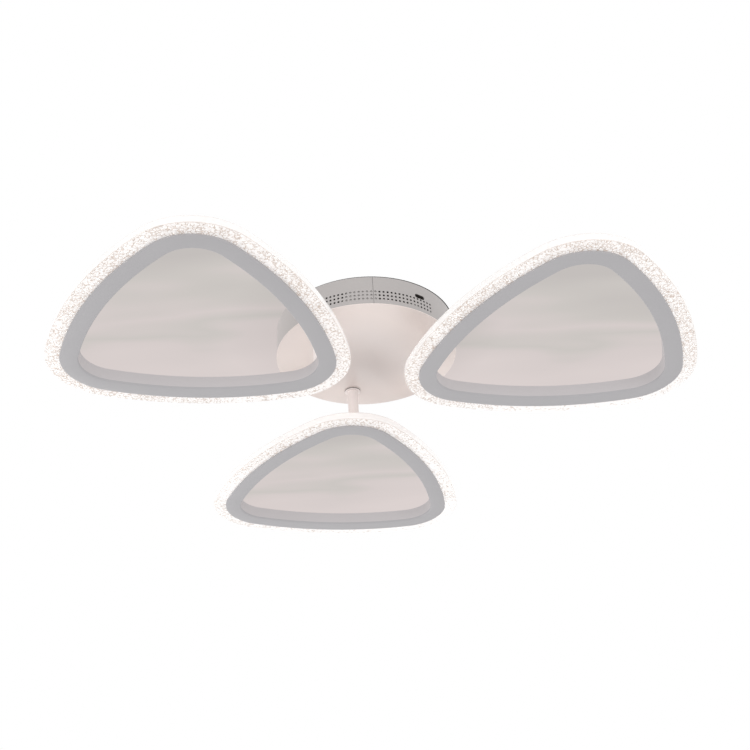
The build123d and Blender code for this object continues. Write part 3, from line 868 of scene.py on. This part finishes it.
class CHANDELIER_OT_stage(bpy.types.Operator):
    """The camera, soft lamps, white surroundings and the painted shade of the ceiling that shows inside the
    lamps
    """

    bl_idname = "chandelier.stage"
    bl_label = "Camera and stage"

    # Where the picture was taken from, in metres and degrees
    camera_place = Vector((0.259, -0.9668, -0.702))
    camera_yaw = -16.02
    camera_pitch = 37.28
    camera_roll = -2.775
    # The picture's size, focal length and middle of perspective, in pixels
    picture_size = 750
    picture_focal = 1076.2
    picture_middle = (347.05, 289.95)
    # How far the canopy's shade on the ceiling reaches past its wall, and leans to the right, in metres
    shade_line = 0.0003
    shade_lean = 0.0006
    # The room's light, where 1 is white
    room_light = 0.75
    # The soft lamps: where they are, what they point at and their sizes, in metres, and their watts
    soft_lamps = {
        "left_key": ((-2.0, -1.8, -0.7), (0, 0, -0.05), 1.8, 16.5),
        "right_key": ((2.0, -1.8, -0.7), (0, 0, -0.05), 1.8, 18.5),
        "soft_fill": ((0.2, 1.8, -1.9), (0, 0.15, -0.05), 3.6, 10.0),
        "far_left_fill": ((-1.7, 1.0, -0.6), (0, 0, -0.05), 1.8, 8.0),
    }
    # The bands of the ceiling's painted shade: their stretch across and away, their noise's scale and detail,
    # and its effect
    band_stretch = (1.1, 3.4, 1.0)
    band_noise = (1.3, 1.5)
    band_shift = (-0.26, 0.54)
    # How much darker the ceiling's painted shade gets for each metre to either side
    darker_aside = -0.5
    # The tone's share in the canopy's soft shade, and the radii between which the shade fades, in metres
    shade_depth = 0.91
    soft_shade = (0.1, 0.16)
    # Where the ceiling's painted shade starts and is full, as shares of the frame's width in from its edge
    patch_start = 0.1
    patch_full = 0.85

    def add_camera(self, context):
        data = bpy.data.cameras.new("picture_camera")
        data.lens = data.sensor_width * self.picture_focal / self.picture_size
        data.shift_x = 0.5 - self.picture_middle[0] / self.picture_size
        data.shift_y = self.picture_middle[1] / self.picture_size - 0.5
        yaw = Matrix.Rotation(math.radians(-self.camera_yaw), 4, "Z")
        pitch = Matrix.Rotation(math.radians(90 + self.camera_pitch), 4, "X")
        roll = Matrix.Rotation(math.radians(self.camera_roll), 4, "Z")
        camera = added("picture_camera", data)
        camera.matrix_world = Matrix.Translation(self.camera_place) @ yaw @ pitch @ roll
        context.scene.camera = camera

    def add_surroundings(self, context):
        world = bpy.data.worlds.new("white_room")
        world.use_nodes = True
        room = Nodes(world.node_tree)
        plain = room.tree.nodes["Background"]
        room.feed(plain.inputs["Color"], (1, 1, 1, 1))
        room.feed(plain.inputs["Strength"], self.room_light)
        white = room.node("ShaderNodeBackground", {"Color": (1, 1, 1, 1)})
        path = room.node("ShaderNodeLightPath").outputs
        seen = room.maths("MAXIMUM", path["Is Camera Ray"], path["Is Transmission Ray"])
        seen = room.maths("MAXIMUM", seen, path["Is Glossy Ray"])
        inputs = {"Fac": seen, 1: plain.outputs["Background"], 2: white.outputs["Background"]}
        mix = room.node("ShaderNodeMixShader", inputs)
        room.feed(room.tree.nodes["World Output"].inputs["Surface"], mix.outputs["Shader"])
        context.scene.world = world

    def add_soft_lamps(self):
        for name, (place, target, size, power) in self.soft_lamps.items():
            data = bpy.data.lights.new(name, "AREA")
            data.shape = "DISK"
            data.size = size
            data.energy = power
            lamp = added(name, data)
            lamp.location = place
            lamp.rotation_euler = (Vector(target) - Vector(place)).to_track_quat("-Z", "Y").to_euler()

    def seen_from_below(self, finish, colour, cover=1.0):
        """Ends a material in plain colour where it covers from below, and in nothing from above."""
        glow = finish.node("ShaderNodeEmission", {"Color": colour}).outputs["Emission"]
        clear = finish.node("ShaderNodeBsdfTransparent").outputs["BSDF"]
        above = finish.node("ShaderNodeNewGeometry").outputs["Backfacing"]
        bare = finish.maths("MAXIMUM", above, finish.maths("SUBTRACT", 1.0, cover))
        mix = finish.node("ShaderNodeMixShader", {"Fac": bare, 1: glow, 2: clear})
        finish.feed(finish.tree.nodes["Material Output"].inputs["Surface"], mix.outputs["Shader"])
        finish.tree.nodes.remove(finish.shader)
        return finish.material

    def painted_ceiling_shade(self, colours):
        """The ceiling's painted shade inside a lamp: soft bands from side to side, paler away from the
        viewer.
        """
        finish = Finish("ceiling_painted_shade", 0.9)
        place = finish.node("ShaderNodeUVMap", uv_map="across_and_away").outputs["UV"]
        drift = finish.clouds(finish.stretched(place, self.band_stretch), *self.band_noise)["Fac"]
        to_the_side = finish.maths("ABSOLUTE", finish.parts(finish.place)["X"])
        aside = finish.maths("MULTIPLY", to_the_side, self.darker_aside)
        along = finish.maths("ADD", finish.parts(place)["Y"], aside)
        colour = finish.ramp(
            finish.maths("ADD", along, finish.level(drift, *self.band_shift)),
            (0.1, colours.ceiling_near),
            (0.3, colours.ceiling_cool),
            (0.42, colours.ceiling_warm),
            (0.55, colours.ceiling_cool),
            (0.64, colours.ceiling_warm),
            (0.9, colours.ceiling_far),
        )
        from_canopy = finish.node("ShaderNodeVectorMath", {0: finish.place}, operation="LENGTH")
        shade = finish.level(from_canopy.outputs["Value"], self.shade_depth, 1.0, *self.soft_shade)
        cover = finish.node("ShaderNodeAttribute", attribute_name="cover").outputs["Fac"]
        return self.seen_from_below(finish, finish.scaled(colour, shade), cover)

    def add_ceiling_part(self, name, mesh, material):
        """Puts a flat sheet of painted shade on the stage at the ceiling, facing down."""
        for face in mesh.faces:
            if face.normal.z > 0:
                face.normal_flip()
        part = added(name, mesh_data(name, mesh, material))
        part.visible_diffuse = False
        part.visible_shadow = False
        return part

    def add_ceiling(self, context):
        """For each lamp, a patch of painted shade on the ceiling that its frame rings, as the camera sees it.
        """
        sizes = context.scene.chandelier_lamp
        material = self.painted_ceiling_shade(context.scene.chandelier_colours)
        yaw = Matrix.Rotation(math.radians(self.camera_yaw), 3, "Z")
        from_camera = Matrix.Translation(-self.camera_place)
        for side in LAMPS:
            under = levels(f"{side}_lamp_face_plate")[0]
            mesh = sweep_round_lamp([(sizes.frame_width * self.patch_start, under)], sizes)
            bmesh.ops.transform(mesh, matrix=place_of(side), verts=mesh.verts)
            grow = self.camera_place.z / (self.camera_place.z - under)
            bmesh.ops.scale(mesh, vec=(grow, grow, grow), space=from_camera, verts=mesh.verts)
            bmesh.ops.contextual_create(mesh, geom=mesh.edges)
            fade = sizes.frame_width * (self.patch_full - self.patch_start) * grow
            bmesh.ops.inset_region(
                mesh, faces=mesh.faces, thickness=fade, use_boundary=True, use_even_offset=True
            )
            cover = mesh.verts.layers.float.new("cover")
            for vert in mesh.verts:
                vert[cover] = 0.0 if any(edge.is_boundary for edge in vert.link_edges) else 1.0
            write_across_and_away(mesh, yaw)
            self.add_ceiling_part(f"{side}_ceiling", mesh, material)

    def add_canopy_shade(self, context):
        """The painted shade of the ceiling inside the canopy, and a thin line of painted shade round its
        edge.
        """
        mesh = bmesh.new()
        edge = context.scene.chandelier_canopy.wall_outer + self.shade_line
        place = Matrix.Translation((self.shade_lean, 0, self.shade_line))
        bmesh.ops.create_circle(mesh, cap_ends=True, segments=96, radius=edge, matrix=place)
        finish = Finish("canopy_shade", 0.9)
        tone = context.scene.chandelier_colours.canopy_shade
        material = self.seen_from_below(finish, finish.mottled(tone, size=0.03, dark=0.8, light=1.2))
        shade = self.add_ceiling_part("canopy_shade", mesh, material)
        shade.visible_glossy = False

    def execute(self, context):
        self.add_camera(context)
        self.add_surroundings(context)
        self.add_soft_lamps()
        self.add_ceiling(context)
        self.add_canopy_shade(context)
        context.scene.view_settings.view_transform = "Standard"
        return {"FINISHED"}


class CHANDELIER_PT_panel(bpy.types.Panel):
    """Lists the chandelier's pieces, sizes and colours"""

    bl_idname = "CHANDELIER_PT_panel"
    bl_label = "LED ceiling chandelier"
    bl_space_type = "VIEW_3D"
    bl_region_type = "UI"
    bl_category = "Chandelier"

    def draw(self, context):
        for group in ("chandelier_canopy", "chandelier_lamp", "chandelier_colours"):
            settings = getattr(context.scene, group)
            box = self.layout.box()
            for name in settings.__annotations__:
                box.prop(settings, name)
        for operator in OPERATORS:
            self.layout.operator(operator.bl_idname)


OPERATORS = (
    CHANDELIER_OT_canopy_wall,
    CHANDELIER_OT_canopy_face,
    CHANDELIER_OT_canopy_inside,
    CHANDELIER_OT_stems,
    CHANDELIER_OT_frames,
    CHANDELIER_OT_acrylic,
    CHANDELIER_OT_light_strips,
    CHANDELIER_OT_stage,
)
CLASSES = (ChandelierLampSizes, ChandelierCanopySizes, ChandelierColours, *OPERATORS, CHANDELIER_PT_panel)


def register():
    for thing in CLASSES:
        bpy.utils.register_class(thing)
    bpy.types.Scene.chandelier_lamp = PointerProperty(type=ChandelierLampSizes)
    bpy.types.Scene.chandelier_canopy = PointerProperty(type=ChandelierCanopySizes)
    bpy.types.Scene.chandelier_colours = PointerProperty(type=ChandelierColours)


def unregister():
    del bpy.types.Scene.chandelier_colours
    del bpy.types.Scene.chandelier_canopy
    del bpy.types.Scene.chandelier_lamp
    for thing in reversed(CLASSES):
        bpy.utils.unregister_class(thing)


def main():
    register()
    bpy.ops.chandelier.canopy_wall()
    bpy.ops.chandelier.canopy_face()
    bpy.ops.chandelier.canopy_inside()
    bpy.ops.chandelier.stems()
    bpy.ops.chandelier.frames()
    bpy.ops.chandelier.acrylic()
    bpy.ops.chandelier.light_strips()
    bpy.ops.chandelier.stage()


if __name__ == "__main__":
    main()
